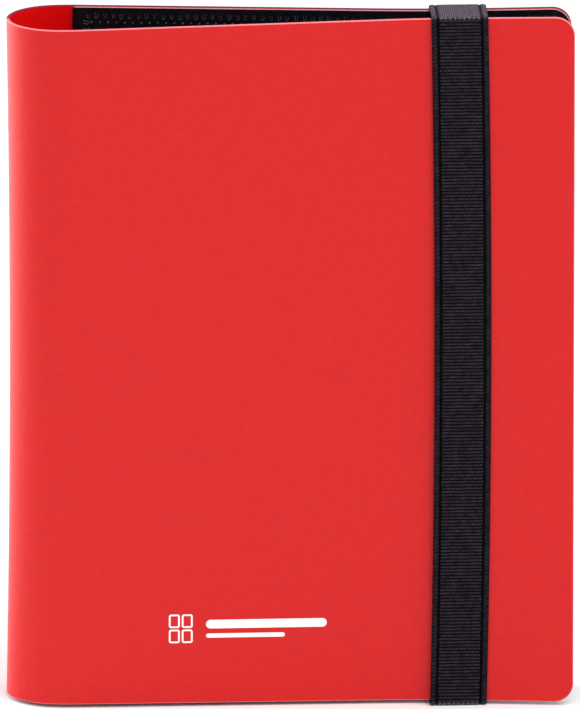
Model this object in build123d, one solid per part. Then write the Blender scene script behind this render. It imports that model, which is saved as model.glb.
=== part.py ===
from build123d import *

import math
import os

# Four-pocket trading card binder with a rounded spine and an elastic closing strap.
#
# The binder stands upright, closed.  +Z is up, the front cover faces -Y, the spine is at -X and the
# fore edge, where the pages end, is at +X.  The origin is the centre of the footprint, on the
# surface that the binder stands on.  Millimetres.
#
# Two semi-rigid plastic covers run from a half-elliptical spine towards each other, and are held by
# the strap.  The lower fore-edge corner of the front cover stands out further than the upper one,
# so that cover has a twist.  Each cover carries a welded black liner.  Twenty pocket pages are held
# by their margins in a folded tape that stands on the back liner.  The strap is a flat elastic band:
# its two ends wrap over the top and bottom edges and are riveted to the back cover.
#
# The pieces are drawn about the middle of the spine.  They are moved along Y as they are written, so
# that the origin is under the middle of the whole.

# ---- driving dimensions -------------------------------------------------------------------------
WIDTH = 174.5  # spine to fore edge
COVER_HEIGHT = 218.0
SPINE_THICKNESS = 28.0  # outside to outside
SPINE_DEPTH = 17.5  # from the outermost point of the spine to the two hinge lines
COVER_T = 1.0
LINER_T = 0.6
CORNER_R = 6.0  # fore-edge corners of the covers
BACK_SHORT = 0.25  # the back cover ends this far before the front one
TWIST = 11.8  # by which the front cover's lower fore-edge corner stands out beyond the upper one

PAGE_COUNT = 20
PAGE_WIDTH = 143.0
PAGE_HEIGHT = 196.0
PAGE_PITCH = 0.33
CORE_T = 0.12
FILM_T = 0.07
PAGE_CORNER_R = 3.0

STRAP_WIDTH = 17.5
STRAP_T = 1.0
STRAP_CENTRE = 139.0  # from the outermost point of the spine
TAIL_LENGTH = 15.0  # of the strap's riveted ends, down the back cover
RIVET_DROP = 6.0  # rivet axis below the cover's edge

# ---- fits and small features --------------------------------------------------------------------
SHEET_GAP = 0.05  # between layers that lie on each other
LINER_GAP = 0.03  # between a cover and its liner
HINGE_GAP = 0.15  # each side of a cover's fold line
LINER_INSET = 0.3
LINER_START = 21.0  # from the outermost point of the spine
RIVET_CLEARANCE = 0.02
RIVET_SHANK_R = 1.5
RIVET_HEAD_R = 3.8
RIVET_HEAD_T = 1.2
WASHER_R = 3.2
WASHER_T = 0.5
CENTRE_SHIFT = 2.65  # along Y, from the middle of the spine to the middle of the footprint

# ---- places worked out from the above -----------------------------------------------------------
LEFT = -WIDTH / 2
HINGE_X = LEFT + SPINE_DEPTH
HALF_SPINE = SPINE_THICKNESS / 2
COVER_LOW = STRAP_T + SHEET_GAP
COVER_TOP = COVER_LOW + COVER_HEIGHT
MID_Z = (COVER_LOW + COVER_TOP) / 2
STRAP_X = LEFT + STRAP_CENTRE
STRAP_BACK_Y = 4.38  # outer face of the back cover under the strap, with the lie of the elastic
STRAP_FRONT_Y = -6.9  # the same on the front cover, at its upper edge
STRAP_LOW_FRONT_Y = -16.74  # the same at its lower edge

PAGE_BACK_Y = 2.0  # rear face of the page stack
PAGE_FRONT_Y = PAGE_BACK_Y - PAGE_COUNT * PAGE_PITCH
PAGE_HINGE_X = LEFT + 25.5
PAGE_START_X = PAGE_HINGE_X + 0.3
TAPE_T = 0.4
PAGE_HINGE_Y = PAGE_FRONT_Y - TAPE_T - 0.15
MARGIN_WIDTH = 3.0
# The inside of the back liner under the strap, less the washer's own thickness.
WASHER_FRONT_Y = STRAP_BACK_Y - 0.38 - COVER_T - LINER_T - SHEET_GAP - WASHER_T


def back_profile():
    """Outer line of the back cover, seen from above: straight, then easing to lie under the strap."""
    start = (HINGE_X, HALF_SPINE)
    knee = (LEFT + 112, 5.5)
    under_strap = (LEFT + 143, 4.05)
    fore = (LEFT + WIDTH + 2, 4.64)
    run = Line(start, knee)
    ease = TangentArc(knee, under_strap, tangent=run % 1)
    flare = TangentArc(under_strap, fore, tangent=ease % 1)
    return Wire([run, ease, flare])


def twist_at(x):
    """How much further the front cover's lower edge stands out than its upper edge."""
    return TWIST * (x - HINGE_X) / (WIDTH - SPINE_DEPTH)


def front_profile(lower=False):
    """Outer line of the front cover, seen from above, at its upper or its lower edge."""

    def point(from_left, y):
        x = LEFT + from_left
        return (x, y - twist_at(x) if lower else y)

    start = (HINGE_X, -HALF_SPINE)
    knee = point(115, -7.35)
    under_strap = point(141, -6.7)
    fore = point(WIDTH + 2, -7.67)
    run = Line(start, knee)
    ease = TangentArc(knee, under_strap, tangent=run % 1)
    flare = TangentArc(under_strap, fore, tangent=ease % 1)
    return Wire([run, ease, flare])


def section(profile, inward, depth_from, depth_to):
    """Section of a sheet that follows a cover's outer line, between two depths below that line."""
    side = Side.RIGHT if inward < 0 else Side.LEFT
    far = profile.offset_2d(depth_to, kind=Kind.INTERSECTION, side=side, closed=False)
    near = profile
    if depth_from > 0:
        near = profile.offset_2d(depth_from, kind=Kind.INTERSECTION, side=side, closed=False)
    ends = [Line(near @ 0, far @ 0), Line(near @ 1, far @ 1)]
    if (near @ 0 - far @ 0).length > (near @ 0 - far @ 1).length:
        ends = [Line(near @ 0, far @ 1), Line(near @ 1, far @ 0)]
    return Face(Wire(list(near.edges()) + list(far.edges()) + [end.edge() for end in ends]))


def clip_to_outline(sheet, x_from, x_to, low, high, radius):
    """Trims a cover or liner to its outline: square at the spine, rounded at the fore edge."""
    plate = Pos((x_from + x_to) / 2, 0, (low + high) / 2) * Box(x_to - x_from, 60, high - low)
    fore_edges = plate.edges().filter_by(Axis.Y).group_by(Axis.X)[-1]
    return sheet & fillet(fore_edges, radius)


def back_sheet(depth_from, depth_to):
    """A layer of the back cover, straight up and down."""
    face = section(back_profile(), -1, depth_from, depth_to)
    return Pos(0, 0, COVER_LOW) * extrude(face, COVER_HEIGHT, dir=(0, 0, 1))


def front_sheet(depth_from, depth_to):
    """A layer of the front cover, ruled from its lower to its upper edge."""
    lower = section(front_profile(lower=True), 1, depth_from, depth_to)
    upper = section(front_profile(), 1, depth_from, depth_to)
    return loft([Pos(0, 0, COVER_LOW) * lower, Pos(0, 0, COVER_TOP) * upper], ruled=True)


def cover(sheet, x_to):
    """One cover board."""
    layer = sheet(0, COVER_T)
    return clip_to_outline(layer, HINGE_X + HINGE_GAP, x_to, COVER_LOW, COVER_TOP, CORNER_R)


def liner(sheet, x_to):
    """The black liner that is welded to the inside of a cover."""
    low, high = COVER_LOW + LINER_INSET, COVER_TOP - LINER_INSET
    layer = sheet(COVER_T + LINER_GAP, COVER_T + LINER_T)
    return clip_to_outline(layer, LEFT + LINER_START, x_to - LINER_INSET, low, high, CORNER_R)


def half_ellipse(inset):
    """Line of the spine seen from above, at a depth below its outer face."""
    return EllipticalCenterArc(
        (HINGE_X, 0), SPINE_DEPTH - inset, HALF_SPINE - inset, start_angle=90, arc_size=180
    )


def spine():
    """The rounded spine, a half ellipse from one hinge line round to the other."""
    end_x = HINGE_X - HINGE_GAP
    outer = half_ellipse(0)
    inner = half_ellipse(COVER_T)
    outline = Wire([outer, inner, Line(outer @ 0, inner @ 0), Line(outer @ 1, inner @ 1)])
    shell = Pos(0, 0, COVER_LOW) * extrude(Face(outline), COVER_HEIGHT, dir=(0, 0, 1))
    keep = Pos(end_x - 20, 0, MID_Z) * Box(40, 60, COVER_HEIGHT + 20)
    return shell & keep


def page_centre_y(number):
    """Middle of a page's thickness; page 1 lies nearest the front cover."""
    return PAGE_FRONT_Y + (number - 0.5) * PAGE_PITCH


def rounded_plate(x_from, width, thickness, height, radius):
    """A thin plate in the XZ plane, centred on Y = 0, rounded at its fore-edge corners."""
    plate = Pos(x_from + width / 2, 0, MID_Z) * Box(width, thickness, height)
    return fillet(plate.edges().filter_by(Axis.Y).group_by(Axis.X)[-1], radius)


def page_core(number):
    """The black sheet in the middle of a page."""
    plate = rounded_plate(PAGE_START_X, PAGE_WIDTH, CORE_T, PAGE_HEIGHT, PAGE_CORNER_R)
    return Pos(0, page_centre_y(number), 0) * plate


def page_films(number):
    """Two clear sheets, one on each face of the core.

    Each is welded to the core round four pockets, in two columns and two rows.  A slit along the
    spine side of each pocket lets a card in from the side.
    """
    film_inset, slit_inset, slit_width, slit_height = 1.0, 4.0, 0.8, 84.0
    width, height = PAGE_WIDTH - 2 * film_inset, PAGE_HEIGHT - 2 * film_inset
    film = rounded_plate(PAGE_START_X + film_inset, width, FILM_T, height, PAGE_CORNER_R)
    for column in (0, 1):
        for row in (-1, 1):
            x = PAGE_START_X + slit_inset + column * PAGE_WIDTH / 2
            z = MID_Z + row * PAGE_HEIGHT / 4
            film -= Pos(x, 0, z) * Box(slit_width, 1, slit_height)
    step = (CORE_T + FILM_T) / 2
    y = page_centre_y(number)
    return Compound([Pos(0, y - step, 0) * film, Pos(0, y + step, 0) * film])


def page_margins():
    """The welded margins of the pages, one strip for each page, inside the binding tape."""
    x = PAGE_HINGE_X - 0.3 - MARGIN_WIDTH / 2
    strip = Pos(x, 0, MID_Z) * Box(MARGIN_WIDTH, CORE_T + 2 * FILM_T, PAGE_HEIGHT)
    return Compound([Pos(0, page_centre_y(n), 0) * strip for n in range(1, PAGE_COUNT + 1)])


def binding_tape():
    """The folded tape: a front leg and a wall round the margins, and a foot on the back liner."""
    wall_x = PAGE_HINGE_X - 0.3 - MARGIN_WIDTH - SHEET_GAP - TAPE_T
    front_y = PAGE_FRONT_Y - SHEET_GAP - TAPE_T
    foot_length = 11.0
    slope = (back_profile().edges()[0]) % 0
    lean = math.atan2(slope.Y, slope.X)
    inner_depth = (COVER_T + LINER_T + SHEET_GAP) / math.cos(lean)

    def liner_y(x):
        return HALF_SPINE + (x - HINGE_X) * math.tan(lean) - inner_depth

    outline = Polyline(
        (PAGE_HINGE_X - 0.3, front_y),
        (wall_x, front_y),
        (wall_x, liner_y(wall_x)),
        (wall_x + foot_length, liner_y(wall_x + foot_length)),
        (wall_x + foot_length, liner_y(wall_x + foot_length) - TAPE_T),
        (wall_x + TAPE_T, liner_y(wall_x + TAPE_T) - TAPE_T),
        (wall_x + TAPE_T, front_y + TAPE_T),
        (PAGE_HINGE_X - 0.3, front_y + TAPE_T),
        close=True,
    )
    low = MID_Z - PAGE_HEIGHT / 2
    return Pos(0, 0, low) * extrude(make_face(outline), PAGE_HEIGHT, dir=(0, 0, 1))


def strap_span():
    """The part of the elastic that crosses the front cover, with its rounded top and bottom bends."""
    top = COVER_TOP + SHEET_GAP + STRAP_T
    outline = Polyline(
        (STRAP_LOW_FRONT_Y, 0),
        (STRAP_FRONT_Y, top),
        (STRAP_FRONT_Y - STRAP_T, top),
        (STRAP_LOW_FRONT_Y - STRAP_T, 0),
        close=True,
    )
    face = make_face(Plane.YZ * outline)
    plate = Pos(STRAP_X - STRAP_WIDTH / 2, 0, 0) * extrude(face, STRAP_WIDTH, dir=(1, 0, 0))
    levels = plate.edges().filter_by(Axis.X).group_by(Axis.Z)
    front_edges = [level.sort_by(Axis.Y)[0] for level in (levels[0], levels[-1])]
    return fillet(front_edges, STRAP_T * 0.9)


def strap_end(top):
    """One end of the elastic: over the covers' edge and down the back cover to its rivet."""
    turn_low = COVER_TOP + SHEET_GAP if top else 0
    edge_z = COVER_TOP if top else COVER_LOW
    inside = -1 if top else 1
    back_y = STRAP_BACK_Y + STRAP_T
    front_y = (STRAP_FRONT_Y if top else STRAP_LOW_FRONT_Y) + SHEET_GAP
    turn = Pos(STRAP_X, (front_y + back_y) / 2, turn_low + STRAP_T / 2) * Box(
        STRAP_WIDTH, back_y - front_y, STRAP_T
    )
    tail_from = turn_low + STRAP_T / 2
    tail_to = edge_z + inside * TAIL_LENGTH
    tail = Pos(STRAP_X, back_y - STRAP_T / 2, (tail_from + tail_to) / 2) * Box(
        STRAP_WIDTH, STRAP_T, abs(tail_from - tail_to)
    )
    band = turn + tail
    outer_z = turn_low + STRAP_T if top else 0
    bend = [
        e
        for e in band.edges().filter_by(Axis.X)
        if abs(e.center().Z - outer_z) < 1e-6 and abs(e.center().Y - back_y) < 1e-6
    ]
    return fillet(bend, STRAP_T * 0.9) - rivet_hole(rivet_z(top))


def rivet_z(top):
    return COVER_TOP - RIVET_DROP if top else COVER_LOW + RIVET_DROP


def rivet_hole(z):
    """The hole that a rivet's shank passes through, along Y."""
    hole = Cylinder(RIVET_SHANK_R + RIVET_CLEARANCE, 30)
    return Pos(STRAP_X, STRAP_BACK_Y, z) * Rot(90, 0, 0) * hole


def rivet(z):
    """A domed rivet: its head lies on the strap, and its shank reaches the washer inside."""
    head_y = STRAP_BACK_Y + STRAP_T
    along_y = Rot(90, 0, 0)
    shank = along_y * Cylinder(RIVET_SHANK_R, head_y - WASHER_FRONT_Y)
    shank = Pos(STRAP_X, (head_y + WASHER_FRONT_Y) / 2, z) * shank
    head = along_y * Cylinder(RIVET_HEAD_R, RIVET_HEAD_T)
    head = Pos(STRAP_X, head_y + RIVET_HEAD_T / 2, z) * head
    rim = head.edges().filter_by(GeomType.CIRCLE).group_by(Axis.Y)[-1]
    return shank + fillet(rim, RIVET_HEAD_T * 0.7)


def washer(z):
    """The flat ring that the rivet is closed over, on the inside of the back liner."""
    ring = Cylinder(WASHER_R, WASHER_T) - Cylinder(RIVET_SHANK_R + RIVET_CLEARANCE, WASHER_T)
    return Pos(STRAP_X, WASHER_FRONT_Y + WASHER_T / 2, z) * Rot(90, 0, 0) * ring


def build():
    back_x_to = LEFT + WIDTH - BACK_SHORT
    front_x_to = LEFT + WIDTH
    holes = [rivet_hole(rivet_z(True)), rivet_hole(rivet_z(False))]
    nodes = {
        "back_cover": cover(back_sheet, back_x_to) - holes,
        "back_liner": liner(back_sheet, back_x_to) - holes,
        "front_cover": cover(front_sheet, front_x_to),
        "front_liner": liner(front_sheet, front_x_to),
        "spine": spine(),
        "binding_tape": binding_tape(),
        "page_margins": page_margins(),
        "strap_span": strap_span(),
        "strap_top_end": strap_end(True),
        "strap_bottom_end": strap_end(False),
        "top_rivet": rivet(rivet_z(True)),
        "bottom_rivet": rivet(rivet_z(False)),
        "top_rivet_washer": washer(rivet_z(True)),
        "bottom_rivet_washer": washer(rivet_z(False)),
    }
    for number in range(1, PAGE_COUNT + 1):
        nodes[f"page_{number:02d}_core"] = page_core(number)
        nodes[f"page_{number:02d}_pockets"] = page_films(number)
    return nodes


def main():
    os.makedirs("parts", exist_ok=True)
    for name, shape in build().items():
        export_step(Pos(0, CENTRE_SHIFT, 0) * shape, f"parts/{name}.step")


main()
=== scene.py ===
# The looks of a trading card binder, built round its imported CAD frame.
#
# The frame is in metres: +Z is up, the front cover faces -Y and the spine is at -X.  The sizes below
# are in millimetres, and MM turns them into metres.
#
# The covers with the spine, and the liners, are rebuilt as sheets with rolled edges.  The covers'
# sheets run on into the spine, and are rounded where they meet it at the two fold lines.  The elastic
# is rebuilt with its ribs and selvages.  The pages, the tape, the rivets and the washers are the CAD
# nodes themselves, with their own materials.

import math
import random

import bmesh
import bpy
import numpy as np
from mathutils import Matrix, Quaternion, Vector


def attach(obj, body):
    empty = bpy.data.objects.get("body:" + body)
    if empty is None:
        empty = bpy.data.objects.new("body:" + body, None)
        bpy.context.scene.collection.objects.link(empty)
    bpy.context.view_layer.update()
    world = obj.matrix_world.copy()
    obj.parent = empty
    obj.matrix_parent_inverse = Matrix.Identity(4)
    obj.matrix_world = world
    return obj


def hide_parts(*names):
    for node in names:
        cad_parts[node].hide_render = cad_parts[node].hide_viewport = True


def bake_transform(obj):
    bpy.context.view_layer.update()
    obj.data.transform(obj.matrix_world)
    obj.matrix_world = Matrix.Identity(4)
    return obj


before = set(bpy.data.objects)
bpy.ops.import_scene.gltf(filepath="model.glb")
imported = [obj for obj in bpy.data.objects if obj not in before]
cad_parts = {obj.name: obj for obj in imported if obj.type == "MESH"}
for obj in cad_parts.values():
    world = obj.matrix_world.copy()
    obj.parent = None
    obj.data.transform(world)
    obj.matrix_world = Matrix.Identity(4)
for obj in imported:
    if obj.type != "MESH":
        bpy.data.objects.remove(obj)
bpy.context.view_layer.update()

MM = 0.001

# ---- sizes, as in the CAD source ----------------------------------------------------------------
WIDTH = 174.5
LEFT = -WIDTH / 2
SPINE_DEPTH = 17.5
HALF_SPINE = 14.0
HINGE_X = LEFT + SPINE_DEPTH
SHEET_GAP = 0.05  # between layers that lie on each other
STRAP_T = 1.0
COVER_LOW = STRAP_T + SHEET_GAP  # the covers stand on the strap
COVER_TOP = COVER_LOW + 218.0
MID_Z = (COVER_LOW + COVER_TOP) / 2
COVER_T = 1.0
LINER_T = 0.6
LINER_INSET = 0.3
LINER_START = 21.0
CORNER_R = 6.0
BACK_SHORT = 0.25  # the back cover ends this far before the front one
TWIST = 11.8  # the front cover's lower fore-edge corner stands out this far beyond the upper one
PAGE_START = 25.8  # from the outermost point of the spine to the pages
PAGE_WIDTH = 143.0
PAGE_HEIGHT = 196.0
STRAP_X = LEFT + 139.0
STRAP_HALF = 8.75  # half of its width
STRAP_BACK_Y = 4.38  # outer face of the back cover under the strap
STRAP_FRONT_Y = -6.9  # the same on the front cover, at its upper edge
STRAP_LOW_FRONT_Y = -16.74  # the same at its lower edge
TAIL_LENGTH = 15.0  # of the strap's riveted ends, down the back cover
CENTRE_SHIFT = 2.65  # along Y, from the middle of the spine to the middle of the footprint

# ---- bends that the strap's pull gives ----------------------------------------------------------
SPINE_BOW = 1.0  # the spine is drawn in this far at mid height
STRAP_BOW = 1.2  # the strap bows this far towards the fore edge at mid height
STRAP_BOW_REACH = 110.0  # above and below mid height

random.seed(7)

# ---- paths of the covers, seen from above -------------------------------------------------------
PATH_STEP = 0.1
SPINE_POINTS = 720
FOLD_REACH = 10.0  # of the rounding at a fold line, each way
FOLD_PASSES = 900  # of the smoothing that rounds it


def straight(a, b):
    """Points from a to b."""
    count = max(2, int(math.dist(a, b) / PATH_STEP))
    t = np.linspace(0, 1, count)[:, None]
    return np.array(a) * (1 - t) + np.array(b) * t


def tangent_arc(start, direction, end):
    """Points of the arc that leaves start along direction and ends at end; and its last direction."""
    p, q, d = np.array(start, float), np.array(end, float), np.array(direction, float)
    d /= np.linalg.norm(d)
    n = np.array([-d[1], d[0]])
    chord = q - p
    turn = 2 * math.atan2(chord @ n, chord @ d)
    bend = 2 * (chord @ n) / (chord @ chord)
    a = np.linspace(0, turn, max(2, int(np.linalg.norm(chord) / PATH_STEP)))[:, None]
    points = p + np.sin(a) / bend * d + (1 - np.cos(a)) / bend * n
    return points, math.cos(turn) * d + math.sin(turn) * n


class Path:
    """The outer line of half the binder, from the middle of the spine to one fore edge.

    side is 1 for the back and -1 for the front.  A place along the line is given by its length s
    from the middle of the spine.
    """

    def __init__(self, side, knee, under_strap, fore, end_x, twist=0.0):
        angle = np.radians(np.linspace(180, 180 - 90 * side, SPINE_POINTS))
        spine = np.stack(
            [HINGE_X + SPINE_DEPTH * np.cos(angle), HALF_SPINE * np.sin(angle)], 1
        )
        hinge = (HINGE_X, side * HALF_SPINE)
        run = straight(hinge, knee)
        ease, leaving = tangent_arc(knee, run[-1] - run[0], under_strap)
        flare, _ = tangent_arc(under_strap, leaving, fore)
        points = np.concatenate([spine, run[1:], ease[1:], flare[1:]])
        points = points[points[:, 0] <= end_x]
        self.side = side
        self.twist = twist
        self.points = points
        self._measure()
        self._round_fold(self.s_at(HINGE_X))
        self._measure()

    def _measure(self):
        """Works out the length s at each point, and the direction into the binder."""
        p = self.points
        steps = np.linalg.norm(np.diff(p, axis=0), axis=1)
        self.s = np.concatenate([[0], np.cumsum(steps)])
        t = np.gradient(p, self.s, axis=0)
        t[0] = (0, self.side)
        t /= np.linalg.norm(t, axis=1)[:, None]
        self.inward = np.stack([t[:, 1] * self.side, -t[:, 0] * self.side], 1)

    def _round_fold(self, centre):
        """Rounds off the slight corner where the spine meets the cover."""
        s = np.arange(0, self.s[-1], PATH_STEP)
        s = np.append(s, self.s[-1])
        p = np.stack([np.interp(s, self.s, self.points[:, k]) for k in (0, 1)], 1)
        smooth = p.copy()
        for _ in range(FOLD_PASSES):
            smooth[1:-1] = (smooth[:-2] + smooth[2:]) / 2
        share = np.clip(1 - np.abs(s - centre) / FOLD_REACH, 0, 1)[:, None]
        share = share * share * (3 - 2 * share)
        self.points = p * (1 - share) + smooth * share

    def s_at(self, x):
        """The length at which the line passes x."""
        return float(np.interp(x, self.points[:, 0], self.s))

    def place(self, s, z, depth):
        """A point at length s and height z, at a depth below the outer face, in metres."""
        x, y = (np.interp(s, self.s, self.points[:, k]) for k in (0, 1))
        nx, ny = (np.interp(s, self.s, self.inward[:, k]) for k in (0, 1))
        down = (COVER_TOP - z) / (COVER_TOP - COVER_LOW)
        out = np.clip((x - HINGE_X) / (WIDTH - SPINE_DEPTH), 0, None)
        y = y + self.side * self.twist * down * out
        drawn = np.clip((HINGE_X - x) / SPINE_DEPTH, 0, 1) ** 2
        x = x + SPINE_BOW * drawn * (1 - (2 * down - 1) ** 2)
        return np.stack([x + nx * depth, y + ny * depth + CENTRE_SHIFT, z + 0 * x], -1) * MM


BACK = Path(
    side=1,
    knee=(LEFT + 112, 5.5),
    under_strap=(LEFT + 143, 4.05),
    fore=(LEFT + WIDTH + 2, 4.64),
    end_x=LEFT + WIDTH - BACK_SHORT,
)
FRONT = Path(
    side=-1,
    knee=(LEFT + 115, -7.35),
    under_strap=(LEFT + 141, -6.7),
    fore=(LEFT + WIDTH + 2, -7.67),
    end_x=LEFT + WIDTH,
    twist=TWIST,
)


# ---- mesh helpers -------------------------------------------------------------------------------
def make_object(name, verts, faces, materials, indices=None, smooth=True):
    """A mesh object; indices gives the material of each face, where there are several."""
    mesh = bpy.data.meshes.new(name)
    mesh.from_pydata([tuple(v) for v in verts], [], faces)
    for m in materials:
        mesh.materials.append(m)
    if indices is not None:
        mesh.polygons.foreach_set("material_index", indices)
    bm = bmesh.new()
    bm.from_mesh(mesh)
    bmesh.ops.recalc_face_normals(bm, faces=bm.faces)
    bm.to_mesh(mesh)
    bm.free()
    mesh.polygons.foreach_set("use_smooth", [smooth] * len(mesh.polygons))
    mesh.update()
    obj = bpy.data.objects.new(name, mesh)
    bpy.context.scene.collection.objects.link(obj)
    return obj


CORNER_TURN = [math.radians(a) for a in range(0, 91, 9)]
EDGE_TURN = [math.radians(a) for a in (22, 45, 68, 90)]
EDGE_ROWS = (0, 0.35, 0.9, 2.0, 4.0)  # distances from the lower or upper edge
ROW_STEP = 4.0
COLUMN_STEP = 1.6
SPINE_COLUMN_STEP = 0.35  # round the spine and over the fold
SPINE_COLUMNS_END = HINGE_X + 6


def rolled_sheet(name, path, s_from, s_to, low, top, depth, thick, edge, r_from, r_to, materials):
    """A sheet that follows a path, with rounded corners and a rolled edge.

    The sheet runs from s_from to s_to and from low to top, and lies depth below the path.  edge is
    the radius of the rolled edge, and r_from and r_to are those of the corners.  r_from of None
    leaves the side at s_from open, where the next sheet carries on.  The materials are those of the
    outer face, the rim and the inner face.
    """
    seam = r_from is None
    columns = []

    # A column is a function: inset from the sheet's edge -> its place and its lower and upper ends.
    def corner(end, sign, radius, angle):
        def at(inset):
            r = radius - inset
            s = end - sign * radius + sign * r * math.sin(angle)
            return s, low + radius - r * math.cos(angle), top - radius + r * math.cos(angle)

        return at

    def plain(s):
        return lambda inset: (s, low + inset, top - inset)

    first = s_from if seam else s_from + r_from
    last = s_to - r_to
    if not seam:
        columns += [corner(s_from, -1, r_from, a) for a in reversed(CORNER_TURN)]
    fine_to = path.s_at(SPINE_COLUMNS_END)
    s = first if seam else first + 0.6
    while s < last - 0.3:
        columns.append(plain(s))
        s += SPINE_COLUMN_STEP if s < fine_to else COLUMN_STEP
    columns += [corner(s_to, 1, r_to, a) for a in CORNER_TURN]

    height = top - low
    rows = list(EDGE_ROWS)
    rows += list(np.arange(2 * ROW_STEP, height - 2 * ROW_STEP + 0.1, ROW_STEP))
    rows += [height - r for r in reversed(EDGE_ROWS)]
    rows = np.array(rows) / height

    def grid(inset, d):
        out = []
        for at in columns:
            s, z_low, z_top = at(inset)
            out.append(path.place(np.full(len(rows), s), z_low + (z_top - z_low) * rows, d))
        return np.array(out)

    n_col, n_row = len(columns), len(rows)
    rim = [(c, 0) for c in range(n_col)]
    rim += [(n_col - 1, r) for r in range(1, n_row)]
    rim += [(c, n_row - 1) for c in range(n_col - 2, -1, -1)]
    if not seam:
        rim += [(0, r) for r in range(n_row - 2, 0, -1)]

    verts, faces, indices = [], [], []

    # Both add their points and return those of the rim, in order round the sheet.
    def add_grid(inset, d, index):
        start = len(verts)
        verts.extend(grid(inset, d).reshape(-1, 3))
        for c in range(n_col - 1):
            for r in range(n_row - 1):
                a = start + c * n_row + r
                faces.append((a, a + n_row, a + n_row + 1, a + 1))
                indices.append(index)
        return [start + c * n_row + r for c, r in rim]

    def add_ring(inset, d):
        start = len(verts)
        for c, r in rim:
            s, z_low, z_top = columns[c](inset)
            verts.append(path.place(s, z_low + (z_top - z_low) * rows[r], d))
        return [start + k for k in range(len(rim))]

    rings = [add_grid(edge, depth, 0)]
    for a in EDGE_TURN:
        rings.append(add_ring(edge * (1 - math.sin(a)), depth + edge * (1 - math.cos(a))))
    for a in reversed(EDGE_TURN):
        back = depth + thick - edge * (1 - math.cos(a))
        rings.append(add_ring(edge * (1 - math.sin(a)), back))
    rings.append(add_grid(edge, depth + thick, 2))
    for a, b in zip(rings, rings[1:]):
        pairs = len(a) - 1 if seam else len(a)
        for k in range(pairs):
            j = (k + 1) % len(a)
            faces.append((a[k], a[j], b[j], b[k]))
            indices.append(1)
    return make_object(name, verts, faces, materials, indices)


# ---- materials ----------------------------------------------------------------------------------
class Shader:
    """One node material.  A method that adds a node returns the socket to use next."""

    def __init__(self, name, **values):
        self.mat = bpy.data.materials.new(name)
        self.mat.use_nodes = True
        self.tree = self.mat.node_tree
        self.bsdf = self.tree.nodes["Principled BSDF"]
        for key, value in values.items():
            self.bsdf.inputs[key.replace("_", " ")].default_value = value
        self.coords = self.tree.nodes.new("ShaderNodeTexCoord").outputs["Object"]

    def plug(self, key, socket):
        """Feeds a socket into the shader."""
        self.tree.links.new(socket, self.bsdf.inputs[key])

    def _set(self, node, key, value):
        if isinstance(value, bpy.types.NodeSocket):
            self.tree.links.new(value, node.inputs[key])
        else:
            node.inputs[key].default_value = value

    def noise(self, scale, detail=2.0, rough=0.5, stretch=None):
        node = self.tree.nodes.new("ShaderNodeTexNoise")
        self._set(node, "Vector", self.stretched(stretch) if stretch else self.coords)
        self._set(node, "Scale", scale)
        self._set(node, "Detail", detail)
        self._set(node, "Roughness", rough)
        return node.outputs["Fac"]

    def voronoi(self, scale, feature="F1"):
        node = self.tree.nodes.new("ShaderNodeTexVoronoi")
        node.feature = feature
        self._set(node, "Vector", self.coords)
        self._set(node, "Scale", scale)
        return node.outputs["Distance"]

    def stretched(self, factors):
        node = self.tree.nodes.new("ShaderNodeVectorMath")
        node.operation = "MULTIPLY"
        self._set(node, 0, self.coords)
        node.inputs[1].default_value = factors
        return node.outputs[0]

    def attribute(self, name):
        node = self.tree.nodes.new("ShaderNodeAttribute")
        node.attribute_name = name
        return node.outputs["Fac"]

    def axis(self, letter):
        node = self.tree.nodes.new("ShaderNodeSeparateXYZ")
        self._set(node, 0, self.coords)
        return node.outputs[letter]

    def math(self, operation, a, b=0.0, c=0.0):
        node = self.tree.nodes.new("ShaderNodeMath")
        node.operation = operation
        for k, v in enumerate((a, b, c)):
            self._set(node, k, v)
        return node.outputs[0]

    def ranged(self, socket, from_low, from_high, to_low, to_high):
        node = self.tree.nodes.new("ShaderNodeMapRange")
        node.clamp = True
        for key, v in zip(
            ("Value", "From Min", "From Max", "To Min", "To Max"),
            (socket, from_low, from_high, to_low, to_high),
        ):
            self._set(node, key, v)
        return node.outputs["Result"]

    def mix(self, factor, a, b):
        node = self.tree.nodes.new("ShaderNodeMix")
        node.data_type = "RGBA"
        self._set(node, 0, factor)
        for key, v in ((6, a), (7, b)):
            self._set(node, key, v if isinstance(v, bpy.types.NodeSocket) else (*v, 1))
        return node.outputs[2]

    def bump(self, height, strength, distance, under=None):
        node = self.tree.nodes.new("ShaderNodeBump")
        self._set(node, "Height", height)
        node.inputs["Strength"].default_value = strength
        node.inputs["Distance"].default_value = distance
        if under is not None:
            self._set(node, "Normal", under)
        return node.outputs["Normal"]


def red_plastic():
    """Red polypropylene with a fine matt grain, faint mottling and a soft gloss."""
    sh = Shader("red_plastic", Roughness=0.40, Specular_IOR_Level=0.30)
    fine, broad = sh.noise(2300, 3, 0.6), sh.noise(420, 4, 0.6)
    tone = sh.math("ADD", sh.math("MULTIPLY", fine, 0.35), sh.math("MULTIPLY", broad, 0.65))
    tone = sh.ranged(tone, 0.3, 0.7, 0, 1)
    sh.plug("Base Color", sh.mix(tone, (0.585, 0.0042, 0.0050), (0.68, 0.0074, 0.0084)))
    sh.plug("Roughness", sh.ranged(broad, 0.3, 0.7, 0.35, 0.45))
    grain = sh.bump(sh.noise(1700, 2, 0.55), 0.22, 0.0002)
    sh.plug("Normal", sh.bump(sh.noise(260, 2, 0.5), 0.05, 0.0008, grain))
    return sh.mat


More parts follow.
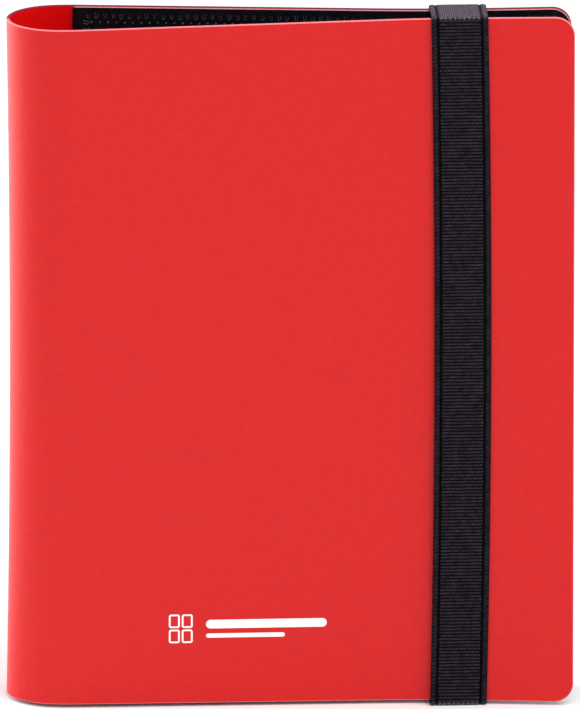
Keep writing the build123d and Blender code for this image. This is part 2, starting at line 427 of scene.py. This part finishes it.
def red_inside_painted_bounce():
    """The smooth inner face of the covers, a more even red, painted brighter and more saturated than
    the outer face: painted bounce light from inside the fold.
    """
    sh = Shader("red_inside_painted_bounce", Roughness=0.55, Specular_IOR_Level=0.06)
    tone = sh.noise(300, 3, 0.6)
    # The saturated red stands in for light bounced round inside the fold: painted bounce light.
    sh.plug("Base Color", sh.mix(tone, (0.79, 0.0028, 0.0036), (0.84, 0.0040, 0.0048)))
    sh.plug("Normal", sh.bump(sh.noise(1500, 2, 0.5), 0.08, 0.0001))
    return sh.mat


def red_rim(name, dark, light):
    """The cut edge of a cover, mixed between a darker and a lighter tone; its front copy is painted
    pale, a painted highlight, and its back copy dark, painted shade.
    """
    sh = Shader(name, Roughness=0.4, Specular_IOR_Level=0.2)
    tone = sh.noise(900, 2, 0.5)
    sh.plug("Base Color", sh.mix(tone, dark, light))
    sh.plug("Normal", sh.bump(sh.noise(2500, 2, 0.5), 0.12, 0.0001))
    return sh.mat


def black_liner():
    """Satin black sheet with a fine leather-like emboss."""
    sh = Shader("black_liner", Roughness=0.5, Specular_IOR_Level=0.12)
    cell, broad = sh.voronoi(1100), sh.noise(300, 3, 0.6)
    sh.plug("Base Color", sh.mix(broad, (0.0030, 0.0025, 0.0040), (0.0075, 0.0055, 0.0085)))
    sh.plug("Roughness", sh.ranged(broad, 0.3, 0.7, 0.42, 0.58))
    sh.plug("Normal", sh.bump(cell, 0.25, 0.00015))
    return sh.mat


def liner_rim_painted_highlight():
    """The edge of the liner: dark on the spine side, and elsewhere painted paler than the face, a
    painted highlight along the edge.
    """
    sh = Shader("liner_rim_painted_highlight", Roughness=0.42)
    tone = sh.noise(700, 3, 0.6)
    # The pale grey-pink is a painted highlight on the black liner's edge.
    pale = sh.mix(tone, (0.36, 0.17, 0.21), (0.62, 0.36, 0.41))
    spine_side = LEFT + LINER_START
    away = sh.ranged(sh.axis("X"), (spine_side + 0.3) * MM, (spine_side + 1) * MM, 0, 1)
    sh.plug("Base Color", sh.mix(away, (0.03, 0.005, 0.007), pale))
    sh.plug("Normal", sh.bump(sh.noise(2200, 2, 0.5), 0.2, 0.0001))
    return sh.mat


def weld_dot_painted_highlight():
    """Pressed marks in the liner, glossier than its face, painted an uneven grey that stands in for
    glints on their ridges: painted highlight.
    """
    sh = Shader("weld_dot_painted_highlight", Roughness=0.3, Specular_IOR_Level=0.5)
    tone = sh.ranged(sh.noise(900, 3, 0.6), 0.35, 0.65, 0, 1)
    # The grey on black plastic is a painted highlight, glints painted into the marks.
    sh.plug("Base Color", sh.mix(tone, (0.008, 0.007, 0.010), (0.085, 0.078, 0.098)))
    sh.plug("Normal", sh.bump(tone, 0.3, 0.0001))
    return sh.mat


def elastic():
    """Black knitted elastic: painted shade in its furrows and a painted highlight on its ribs, lighter
    where it turns over an edge, with a soft fibre sheen.
    """
    sh = Shader(
        "elastic", Roughness=0.9, Sheen_Weight=0.02, Sheen_Roughness=0.45, Specular_IOR_Level=0.04
    )
    fibre = sh.noise(2600, 3, 0.65)
    rib_painted_light = sh.attribute("rib_painted_light")
    patch = sh.noise(500, 3, 0.6)
    # The rib tops are painted lighter and the furrows darker: painted highlight and painted shade.
    lift = sh.math("MULTIPLY", rib_painted_light, sh.ranged(patch, 0.3, 0.7, 0.45, 1.3))
    face = sh.mix(lift, (0.0010, 0.0009, 0.0013), (0.060, 0.048, 0.067))
    speck = sh.math("MULTIPLY", rib_painted_light, sh.ranged(sh.noise(1500, 3, 0.7), 0.35, 0.65, 0.35, 1.3))
    knit = sh.mix(speck, (0.014, 0.011, 0.016), (0.20, 0.165, 0.21))
    sh.plug("Base Color", sh.mix(sh.attribute("wrap"), face, knit))
    sh.plug("Normal", sh.bump(fibre, 0.5, 0.0002))
    return sh.mat


def page_core():
    """The matt black sheet in the middle of a page."""
    sh = Shader("page_core", Roughness=0.55)
    tone = sh.noise(350, 3, 0.6)
    sh.plug("Base Color", sh.mix(tone, (0.010, 0.010, 0.011), (0.020, 0.020, 0.022)))
    sh.plug("Normal", sh.bump(sh.noise(1800, 2, 0.5), 0.15, 0.0001))
    return sh.mat


def page_film():
    """Clear glossy film with its weld lines showing as dull ribs."""
    sh = Shader("page_film", Roughness=0.12, Alpha=0.3)
    x, z = sh.axis("X"), sh.axis("Z")
    left, width = (LEFT + PAGE_START) * MM, PAGE_WIDTH * MM
    half_height = PAGE_HEIGHT / 2 - 2.0
    weld = None
    for socket, centres in (
        (x, (left + 2.4 * MM, left + width / 2, left + width - 2 * MM)),
        (z, ((MID_Z - half_height) * MM, MID_Z * MM, (MID_Z + half_height) * MM)),
    ):
        for c in centres:
            away = sh.math("ABSOLUTE", sh.math("SUBTRACT", socket, c))
            line = sh.ranged(away, 0.0006, 0.0011, 1, 0)
            weld = line if weld is None else sh.math("MAXIMUM", weld, line)
    tooth = sh.ranged(sh.voronoi(700), 0.1, 0.5, 1, 0.4)
    weld = sh.math("MULTIPLY", weld, tooth)
    haze = sh.noise(90, 3, 0.5)
    sh.plug("Base Color", sh.mix(weld, (0.72, 0.74, 0.78), (0.45, 0.46, 0.5)))
    sh.plug("Roughness", sh.ranged(sh.math("ADD", weld, haze), 0.3, 1.2, 0.08, 0.5))
    sh.plug("Alpha", sh.ranged(weld, 0, 1, 0.16, 0.5))
    ripple = sh.bump(haze, 0.25, 0.002)
    sh.plug("Normal", sh.bump(weld, 0.5, 0.0003, ripple))
    return sh.mat


def tape():
    """Black binding tape with a fine upright weave."""
    sh = Shader("tape", Roughness=0.6)
    weave = sh.noise(900, 2, 0.5, stretch=(1, 1, 0.25))
    sh.plug("Base Color", sh.mix(weave, (0.008, 0.008, 0.009), (0.022, 0.021, 0.023)))
    sh.plug("Normal", sh.bump(weave, 0.3, 0.0002))
    return sh.mat


def black_metal():
    """The rivets: blackened metal, a little worn."""
    sh = Shader("black_metal", Roughness=0.32, Metallic=0.6)
    wear = sh.noise(600, 4, 0.6)
    sh.plug("Base Color", sh.mix(wear, (0.012, 0.012, 0.013), (0.05, 0.05, 0.052)))
    sh.plug("Roughness", sh.ranged(wear, 0.3, 0.7, 0.25, 0.42))
    sh.plug("Normal", sh.bump(wear, 0.15, 0.0001))
    return sh.mat


def steel():
    """The washers: brushed steel."""
    sh = Shader("steel", Roughness=0.3, Metallic=1.0)
    brushed = sh.noise(1200, 3, 0.6, stretch=(0.1, 1, 1))
    sh.plug("Base Color", sh.mix(brushed, (0.50, 0.50, 0.52), (0.68, 0.68, 0.70)))
    sh.plug("Roughness", sh.ranged(brushed, 0.3, 0.7, 0.22, 0.4))
    sh.plug("Normal", sh.bump(brushed, 0.2, 0.0001))
    return sh.mat


def white_print():
    """The printed emblem's white ink."""
    sh = Shader("white_print", Roughness=0.4)
    tone = sh.noise(1400, 3, 0.6)
    sh.plug("Base Color", sh.mix(tone, (0.93, 0.90, 0.90), (0.99, 0.98, 0.98)))
    sh.plug("Normal", sh.bump(tone, 0.1, 0.0001))
    return sh.mat


def pale_floor():
    """A matt floor, nearly white."""
    sh = Shader("pale_floor", Roughness=0.7)
    tone = sh.noise(3, 2, 0.5)
    sh.plug("Base Color", sh.mix(tone, (0.93, 0.93, 0.935), (0.95, 0.95, 0.955)))
    return sh.mat


RED, RED_INSIDE_PAINTED_BOUNCE = red_plastic(), red_inside_painted_bounce()
# One cut edge in two copies: the front rim is painted pale as a painted highlight, and the back rim is
# painted dark as painted shade.
FRONT_RIM_PAINTED_HIGHLIGHT = red_rim("front_rim_painted_highlight", (0.80, 0.13, 0.15), (0.92, 0.27, 0.29))
BACK_RIM_PAINTED_SHADE = red_rim("back_rim_painted_shade", (0.13, 0.008, 0.022), (0.26, 0.017, 0.038))
LINER, LINER_RIM_PAINTED_HIGHLIGHT, WELD_PAINTED_HIGHLIGHT = black_liner(), liner_rim_painted_highlight(), weld_dot_painted_highlight()
ELASTIC, PRINT = elastic(), white_print()


# ---- covers -------------------------------------------------------------------------------------
FOLD_TO_SPINE = 8.0  # how far each fold's stretch runs into the spine
FOLD_TO_COVER = 3.3  # and into the cover
COVER_EDGE_R = 0.25


def fold(sheet, a, b, y):
    """Bakes a sheet's transform into its mesh, after working out the ends of a short stretch at the
    fold line.
    """
    ends = [
        ((HINGE_X - FOLD_TO_SPINE) * MM, (y + CENTRE_SHIFT) * MM, MID_Z * MM),
        ((HINGE_X + FOLD_TO_COVER) * MM, (y + CENTRE_SHIFT) * MM, MID_Z * MM),
    ]
    if a != "spine":
        ends.reverse()
    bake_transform(sheet)


def covers():
    """The red sheet, in two halves that meet in the middle of the spine."""
    for path, name, bodies, nodes, rim in (
        (BACK, "back_half_sheet", ("back", "spine"), ("back_cover",), BACK_RIM_PAINTED_SHADE),
        (FRONT, "front_half_sheet", ("spine", "front"), ("front_cover", "spine"), FRONT_RIM_PAINTED_HIGHLIGHT),
    ):
        sheet = rolled_sheet(
            name,
            path,
            s_from=0,
            s_to=path.s[-1],
            low=COVER_LOW,
            top=COVER_TOP,
            depth=0,
            thick=COVER_T,
            edge=COVER_EDGE_R,
            r_from=None,
            r_to=CORNER_R,
            materials=(RED, rim, RED_INSIDE_PAINTED_BOUNCE),
        )
        fold(sheet, *bodies, path.side * HALF_SPINE)
        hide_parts(*nodes)


# ---- liners and their welds ---------------------------------------------------------------------
LINER_SUNK = 0.02  # of a liner's outer face, below the cover's inner face
LINER_EDGE_R = 0.2
LINER_SPINE_R = 0.8  # of a liner's corners on the spine side
WELD_PITCH = 2.55
LOOP_INSET = 2.9  # from the liner's edge to the middle of the outer row
LOOP_SPINE_INSET = 1.2  # by which that row stands further in on the spine side
DOT_INSET = 5.0
LOOP_LENGTH = 1.6
LOOP_WIDTH = 0.8
LOOP_RIDGE_R = 0.13
RAGGED = 0.2  # the most that a loop is out of place, and out of line in radians
MARK_SUNK = 0.02  # of each mark's foot, below the liner's face


def weld_row(s_from, s_to, low, top, inset):
    """Places (s, z) evenly round a rounded rectangle that lies inset from a liner's edge."""
    s0, s1, z0, z1 = s_from + inset, s_to - inset, low + inset, top - inset
    fore_r = max(CORNER_R - inset, LINER_SPINE_R)
    points = []
    for s, z, radius, start in (
        (s1 - fore_r, z0 + fore_r, fore_r, -90),
        (s1 - fore_r, z1 - fore_r, fore_r, 0),
        (s0 + LINER_SPINE_R, z1 - LINER_SPINE_R, LINER_SPINE_R, 90),
        (s0 + LINER_SPINE_R, z0 + LINER_SPINE_R, LINER_SPINE_R, 180),
    ):
        for a in np.radians(np.linspace(start, start + 90, 9)):
            points.append((s + radius * math.cos(a), z + radius * math.sin(a)))
    points.append(points[0])
    points = np.array(points)
    steps = np.linalg.norm(np.diff(points, axis=0), axis=1)
    length = np.concatenate([[0], np.cumsum(steps)])
    count = round(length[-1] / WELD_PITCH)
    at = np.arange(count) * length[-1] / count
    return [(np.interp(v, length, points[:, 0]), np.interp(v, length, points[:, 1])) for v in at]


def dome(radius, height):
    """A small raised dot in its own plane: rings of (u, v, rise) from the foot to the crown."""
    turn = np.linspace(0, 2 * math.pi, 8, endpoint=False)
    return [
        [(radius * t * math.cos(a), radius * t * math.sin(a), height * rise) for a in turn]
        for t, rise in ((1.0, 0.0), (0.86, 0.55), (0.55, 0.9), (0.15, 1.0))
    ]


def loop_ridge(length, width, radius):
    """A raised U, open at its foot: sections of (u, v, rise) along it."""
    bend = width / 2
    line = [(-bend, -length / 2), (-bend, 0.0), (-bend, length / 2 - bend)]
    line += [
        (-bend * math.cos(a), length / 2 - bend + bend * math.sin(a))
        for a in np.linspace(0.4, math.pi - 0.4, 5)
    ]
    line += [(bend, length / 2 - bend), (bend, 0.0), (bend, -length / 2)]
    sections = []
    for k, (u, v) in enumerate(line):
        before, after = line[max(k - 1, 0)], line[min(k + 1, len(line) - 1)]
        du, dv = after[0] - before[0], after[1] - before[1]
        size = math.hypot(du, dv)
        across = (-dv / size, du / size)
        sections.append(
            [
                (u + across[0] * radius * c, v + across[1] * radius * c, radius * rise)
                for c, rise in ((-1, 0), (-0.6, 0.8), (0.6, 0.8), (1, 0))
            ]
        )
    return sections


def weld_marks(name, path, body, s_from, s_to, low, top):
    """A liner's welds to its cover: a ragged outer row of loops, and an inner row of dots."""
    verts, faces = [], []
    depth = COVER_T + LINER_T
    middle = ((s_from + s_to) / 2, (low + top) / 2)

    def stamp(s, z, heading, sections, closed):
        """Adds one mark; closed ones run round and have a crown."""
        start, n = len(verts), len(sections[0])
        for section in sections:
            for u, v, rise in section:
                ds = u * math.cos(heading) - v * math.sin(heading)
                dz = u * math.sin(heading) + v * math.cos(heading)
                verts.append(path.place(s + ds, z + dz, depth - MARK_SUNK + rise))
        for k in range(len(sections) - 1):
            for j in range(n if closed else n - 1):
                a, b = start + k * n + j, start + k * n + (j + 1) % n
                faces.append((a, b, b + n, a + n))
        if closed:
            faces.append(tuple(start + (len(sections) - 1) * n + j for j in range(n)))

    for s, z in weld_row(s_from + LOOP_SPINE_INSET, s_to, low, top, LOOP_INSET):
        upright = min(top - z, z - low) < min(s - s_from, s_to - s)
        inward = (0, middle[1] - z) if upright else (middle[0] - s, 0)
        heading = math.atan2(inward[1], inward[0]) - math.pi / 2
        heading += random.uniform(-RAGGED, RAGGED)
        s += random.uniform(-RAGGED, RAGGED)
        z += random.uniform(-RAGGED, RAGGED)
        size = random.uniform(0.8, 1.12)
        ridge = loop_ridge(LOOP_LENGTH * size, LOOP_WIDTH * size, LOOP_RIDGE_R)
        stamp(s, z, heading, ridge, closed=False)
    for s, z in weld_row(s_from, s_to, low, top, DOT_INSET):
        stamp(s, z, 0.0, dome(random.uniform(0.3, 0.4), 0.2), closed=True)
    obj = make_object(name, verts, faces, (WELD_PAINTED_HIGHLIGHT,))
    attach(obj, body)


def liners():
    """The black liner of each cover."""
    low, top = COVER_LOW + LINER_INSET, COVER_TOP - LINER_INSET
    for path, name, body in ((BACK, "back_liner", "back"), (FRONT, "front_liner", "front")):
        s_from, s_to = path.s_at(LEFT + LINER_START), path.s[-1] - LINER_INSET
        sheet = rolled_sheet(
            name + "_sheet",
            path,
            s_from=s_from,
            s_to=s_to,
            low=low,
            top=top,
            depth=COVER_T + LINER_SUNK,
            thick=LINER_T - LINER_SUNK,
            edge=LINER_EDGE_R,
            r_from=LINER_SPINE_R,
            r_to=CORNER_R,
            materials=(LINER, LINER_RIM_PAINTED_HIGHLIGHT, LINER),
        )
        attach(sheet, body)
        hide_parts(name)
        weld_marks(name + "_welds", path, body, s_from, s_to, low, top)


# ---- the elastic --------------------------------------------------------------------------------
STRAP_TOP = COVER_TOP + SHEET_GAP + STRAP_T
STRAP_FOLD_R = 0.9  # where it turns over the covers' edges
STRAP_STEP = 0.14  # between its rings
WRAP_RINGS = 9  # over which the ribs give way to the knit at a fold
RELIEF = 0.28  # from the lowest furrow to the top of a rib
SELVAGE = 1.75  # width
GROOVE = 0.5  # between a selvage and the ribs
RIB_PITCH = 1.05
WEFT_PITCH = 0.78  # across the ribs
KNIT_PITCH_U = 0.55  # where it turns over an edge
KNIT_PITCH_V = 0.7
STITCH_PITCH = 1.45
CORD_PITCH = 1.25  # of the twist in a selvage


def strap_line():
    """The elastic's outer line in the YZ plane, from the lower tail round the front to the upper.

    Returns the length along it, the points and the outward directions.
    """
    outer_back = STRAP_BACK_Y + STRAP_T
    corners = [
        (outer_back, COVER_LOW + TAIL_LENGTH),
        (outer_back, 0.0),
        (STRAP_LOW_FRONT_Y - STRAP_T, 0.0),
        (STRAP_FRONT_Y - STRAP_T, STRAP_TOP),
        (outer_back, STRAP_TOP),
        (outer_back, COVER_TOP - TAIL_LENGTH),
    ]
    points = [np.array(corners[0], float)]
    for before, here, after in zip(corners, corners[1:], corners[2:]):
        b, h, a = (np.array(c, float) for c in (before, here, after))
        u, v = (b - h) / np.linalg.norm(b - h), (a - h) / np.linalg.norm(a - h)
        for t in np.linspace(0, 1, 12):
            points.append(h + STRAP_FOLD_R * ((1 - t) ** 2 * u + t**2 * v))
    points.append(np.array(corners[-1], float))
    points = np.array(points)
    steps = np.linalg.norm(np.diff(points, axis=0), axis=1)
    length = np.concatenate([[0], np.cumsum(steps)])
    v = np.arange(0, length[-1], STRAP_STEP)
    line = np.stack([np.interp(v, length, points[:, k]) for k in (0, 1)], 1)
    t = np.gradient(line, axis=0)
    t /= np.linalg.norm(t, axis=1)[:, None]
    outward = np.stack([t[:, 1], -t[:, 0]], 1)
    return v, line, -outward


def strap_relief(u, v, wrapped):
    """Height of the elastic's face above its lowest furrow, and its painted light and shade, both 0 to
    about 1.

    u is the place across it, from its middle, and v the length along it.  wrapped is 1 where it
    turns over an edge, and has a knitted face, and 0 elsewhere.
    """
    across = np.abs(u)
    selvage_from = STRAP_HALF - SELVAGE
    ribs_to = selvage_from - GROOVE

    wave = v + 0.03 * np.sin(u * 1.1 + v * 0.37) + 0.025 * np.sin(u * 4.3 + v * 1.9)
    rib = np.abs(np.cos(math.pi * wave / RIB_PITCH)) ** 0.8
    weft = 0.78 + 0.22 * np.cos(2 * math.pi * u / WEFT_PITCH + v * 2.0)
    knit = 0.72 + 0.18 * np.cos(2 * math.pi * u / KNIT_PITCH_U)
    knit = knit + 0.1 * np.cos(2 * math.pi * v / KNIT_PITCH_V)
    rib = rib * weft * (1 - wrapped) + knit * wrapped
    stitch = np.clip(np.cos(2 * math.pi * u / STITCH_PITCH) * 1.5, 0, 1)
    stitch = stitch * 4 * wrapped * (1 - wrapped)

    edge_u = (across - (STRAP_HALF - SELVAGE / 2)) / (SELVAGE / 2)
    crown = np.sqrt(np.clip(1 - edge_u**2, 0, 1))
    slant = np.where(u > 0, 1.0, -0.45)
    cord = 0.80 + 0.20 * np.cos(2 * math.pi * (v / CORD_PITCH + slant * u / 1.5))

    shoulder = np.clip((ribs_to - across) / 0.3, 0, 1)
    height = np.where(across < ribs_to, 0.35 + 0.65 * rib, 0.0)
    height = height * (0.25 + 0.75 * shoulder)
    height = np.where(across > selvage_from, crown * cord, height)
    # The lightness is painted: highlight on the rib tops and the selvages' crowns, shade in the
    # furrows and the grooves, and the selvages lighter still where the elastic turns over an edge.
    light = np.where(across < ribs_to, (rib**2.9 + 0.9 * stitch) * shoulder, 0.0)
    selvage_light = 0.42 * crown * cord**2 * (1 + 0.6 * wrapped)
    light = np.where(across > selvage_from, selvage_light, light)
    return height, light


def strap_columns():
    """Places across the elastic, closer together at its selvages."""
    selvage_from = STRAP_HALF - SELVAGE
    ribs_to = selvage_from - GROOVE
    return np.concatenate(
        [
            np.linspace(-STRAP_HALF, -selvage_from, 9),
            np.linspace(-selvage_from + 0.12, -ribs_to, 3),
            np.linspace(-6.2, 6.2, 41),
            np.linspace(ribs_to, selvage_from - 0.12, 3),
            np.linspace(selvage_from, STRAP_HALF, 9),
        ]
    )


def strap_piece(name, rings, light, wrapped):
    """One length of the elastic: a closed tube of rings, with the attributes that its look reads."""
    n_v, n_u = rings.shape[:2]
    faces = []
    for i in range(n_v - 1):
        for j in range(n_u):
            a, b = i * n_u + j, i * n_u + (j + 1) % n_u
            faces.append((a, b, b + n_u, a + n_u))
    faces.append(tuple(range(n_u)))
    faces.append(tuple((n_v - 1) * n_u + j for j in reversed(range(n_u))))
    obj = make_object(name, rings.reshape(-1, 3), faces, (ELASTIC,))
    for key, values in (("rib_painted_light", light), ("wrap", np.repeat(wrapped, n_u))):
        attribute = obj.data.attributes.new(key, "FLOAT", "POINT")
        attribute.data.foreach_set("value", values.astype(np.float32).ravel())
    return obj


def strap():
    """The elastic, in three lengths: the two ends on the back cover, and the span between them round
    the front.
    """
    v, line, outward = strap_line()
    across, along = np.meshgrid(strap_columns(), v)
    over_edge = (line[:, 1] > COVER_TOP + 0.4) | (line[:, 1] < 0.65)
    wrapped = np.convolve(over_edge.astype(float), np.ones(WRAP_RINGS) / WRAP_RINGS, "same")
    height, light = strap_relief(across, along, wrapped[:, None] * np.ones_like(across))

    front = np.clip((STRAP_BACK_Y - line[:, 0]) / (STRAP_BACK_Y - STRAP_FRONT_Y), 0, 1)
    front = front * front * (3 - 2 * front)
    from_middle = (line[:, 1] - MID_Z) / STRAP_BOW_REACH
    bow = STRAP_BOW * front * np.clip(1 - from_middle**2, 0, 1)

    sink = (height - 1.0) * RELIEF
    outer = np.empty(across.shape + (3,))
    outer[..., 0] = STRAP_X + across + bow[:, None]
    outer[..., 1:] = line[:, None, :] + outward[:, None, :] * sink[..., None]
    inner_u = np.array([-STRAP_HALF + 0.3, -7.0, -6.4, 0, 6.4, 7.0, STRAP_HALF - 0.3])
    inner = np.empty((len(v), len(inner_u), 3))
    inner[..., 0] = STRAP_X + inner_u[None, :] + bow[:, None]
    inner[..., 1:] = (line - outward * (STRAP_T - 0.04))[:, None, :]
    _, inner_light = strap_relief(*np.meshgrid(inner_u, v), 0.0)
    rings = np.concatenate([outer, inner[:, ::-1]], 1)
    rings[..., 1] += CENTRE_SHIFT
    rings *= MM
    light = np.concatenate([light, inner_light[:, ::-1]], 1)

    low_fold = (STRAP_LOW_FRONT_Y - STRAP_T, 0.0)
    top_fold = (STRAP_FRONT_Y - STRAP_T, STRAP_TOP)
    low, high = (int(np.argmin(np.linalg.norm(line - f, axis=1))) for f in (low_fold, top_fold))
    x = STRAP_X * MM
    back_y = (STRAP_BACK_Y + CENTRE_SHIFT) * MM
    low_y = (STRAP_LOW_FRONT_Y + CENTRE_SHIFT) * MM
    top_y = (STRAP_FRONT_Y + CENTRE_SHIFT) * MM
    along_y = ((x, back_y, MID_Z * MM), (x, low_y, MID_Z * MM))
    # The upper end of along_span lies this many lengths of the span above it; that puts the span's
    # share of along_span at 0.59 at its top and 1 at its bottom.
    reach = 1.26
    above = (x, low_y + (1 + reach) * (top_y - low_y), (1 + reach) * STRAP_TOP * MM)
    along_span = (above, (x, low_y, 0.0))
    for name, node, part, (start, end) in (
        ("elastic_low_end", "strap_bottom_end", slice(0, low + 1), along_y),
        ("elastic_span", "strap_span", slice(low, high + 1), along_span),
        ("elastic_top_end", "strap_top_end", slice(high, len(v)), along_y),
    ):
        obj = strap_piece(name, rings[part], light[part], wrapped[part])
        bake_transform(obj)
        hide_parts(node)


# ---- printed emblem -----------------------------------------------------------------------------
EMBLEM_X = LEFT + 49.5  # its lower left corner
EMBLEM_Z = COVER_LOW + 19.5
POCKET_WIDTH, POCKET_HEIGHT = 3.4, 4.4
POCKET_PITCH_X, POCKET_PITCH_Z = 4.0, 4.9
POCKET_LINE = 0.55
INK_RISE = 0.03


def rounded_loop(x0, z0, x1, z1, r):
    """Points round a rectangle with rounded corners."""
    loop = []
    for x, z, start in (
        (x1 - r, z0 + r, -90),
        (x1 - r, z1 - r, 0),
        (x0 + r, z1 - r, 90),
        (x0 + r, z0 + r, 180),
    ):
        for a in np.radians(np.linspace(start, start + 90, 5)):
            loop.append((x + r * math.cos(a), z + r * math.sin(a)))
    return loop


def emblem():
    """A plain printed sign: a page with four pockets, and two bars."""
    verts, faces = [], []
    origin = FRONT.s_at(EMBLEM_X)

    def lay(points):
        start = len(verts)
        for s, z in points:
            verts.append(FRONT.place(origin + s, EMBLEM_Z + z, -INK_RISE))
        return start

    def pocket(x0, z0):
        x1, z1, line = x0 + POCKET_WIDTH, z0 + POCKET_HEIGHT, POCKET_LINE
        outer = rounded_loop(x0, z0, x1, z1, 0.7)
        inner = rounded_loop(x0 + line, z0 + line, x1 - line, z1 - line, 0.7 - line)
        a, b = lay(outer), lay(inner)
        n = len(outer)
        for k in range(n):
            j = (k + 1) % n
            faces.append((a + k, a + j, b + j, b + k))

    def bar(x0, z0, x1, z1):
        loop = rounded_loop(x0, z0, x1, z1, (z1 - z0) / 2)
        a = lay(loop)
        faces.append(tuple(a + k for k in range(len(loop))))

    for column in (0, 1):
        for row in (0, 1):
            pocket(column * POCKET_PITCH_X, row * POCKET_PITCH_Z)
    bar(11.5, 4.6, 49.0, 7.4)
    bar(11.5, 1.6, 36.0, 3.0)
    obj = make_object("emblem", verts, faces, (PRINT,), smooth=False)
    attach(obj, "front")


# ---- pieces that keep their CAD shape ------------------------------------------------------------
def dress_cad_nodes():
    """Gives the pages, the tape, the rivets and the washers their materials."""
    looks = {
        "binding_tape": tape(),
        "page_margins": page_film(),
        "top_rivet": black_metal(),
        "top_rivet_washer": steel(),
    }
    looks["bottom_rivet"] = looks["top_rivet"]
    looks["bottom_rivet_washer"] = looks["top_rivet_washer"]
    core, film = page_core(), looks["page_margins"]
    for name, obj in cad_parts.items():
        if name.endswith("_core"):
            looks[name] = core
        if name.endswith("_pockets"):
            looks[name] = film
        if name in looks:
            obj.data.materials.clear()
            obj.data.materials.append(looks[name])


# ---- surroundings, in metres --------------------------------------------------------------------
FLOOR_HALF = 40.0
FLOOR_DROP = 0.0001


def floor():
    """A wide plain floor, a hair below the binder."""
    half = FLOOR_HALF
    verts = [(-half, -half, 0), (half, -half, 0), (half, half, 0), (-half, half, 0)]
    obj = make_object("floor", verts, [(0, 1, 2, 3)], (pale_floor(),), smooth=False)
    obj.location.z = -FLOOR_DROP


def area_light(name, place, target, size, power):
    """A soft rectangular light at a place, turned towards a target."""
    light = bpy.data.lights.new(name, "AREA")
    light.shape = "RECTANGLE"
    light.size, light.size_y = size
    light.energy = power
    obj = bpy.data.objects.new(name, light)
    obj.location = place
    aim = Vector(target) - Vector(place)
    obj.rotation_euler = aim.to_track_quat("-Z", "Y").to_euler()
    obj.visible_camera = False
    bpy.context.scene.collection.objects.link(obj)


def lights():
    """A pale world, a soft light above the front and a low one at the spine."""
    world = bpy.data.worlds.new("studio")
    world.use_nodes = True
    background = world.node_tree.nodes["Background"]
    background.inputs["Color"].default_value = (1, 1, 1, 1)
    background.inputs["Strength"].default_value = 0.64
    bpy.context.scene.world = world
    middle = (0, 0, 0.11)
    area_light("top", (0.55, -0.5, 1.6), middle, (1.4, 1.4), 24)
    area_light("side", (-0.75, 0.35, 0.3), (-0.08, 0, 0.11), (1.0, 0.6), 7.5)


def camera():
    """A long lens from slightly above and to the left, with a slight roll."""
    lens, sensor, view_height = 1300.0, 36.0, 0.2187
    roll = math.radians(-0.18)
    azimuth, elevation = math.radians(-3.4), math.radians(18.0)
    distance = lens * view_height / sensor
    back = Vector(
        (
            math.sin(azimuth) * math.cos(elevation),
            -math.cos(azimuth) * math.cos(elevation),
            math.sin(elevation),
        )
    )
    target = Vector((0.0003, CENTRE_SHIFT * MM, 0.1092))
    data = bpy.data.cameras.new("camera")
    data.lens, data.sensor_width, data.sensor_fit = lens, sensor, "AUTO"
    data.clip_start, data.clip_end = 0.1, 100.0
    obj = bpy.data.objects.new("camera", data)
    obj.location = target + back * distance
    facing = (-back).to_track_quat("-Z", "Y")
    obj.rotation_euler = (Quaternion(-back, roll) @ facing).to_euler()
    bpy.context.scene.collection.objects.link(obj)
    bpy.context.scene.camera = obj


covers()
liners()
strap()
emblem()
dress_cad_nodes()
floor()
lights()
camera()
bpy.context.scene.view_settings.view_transform = "Standard"
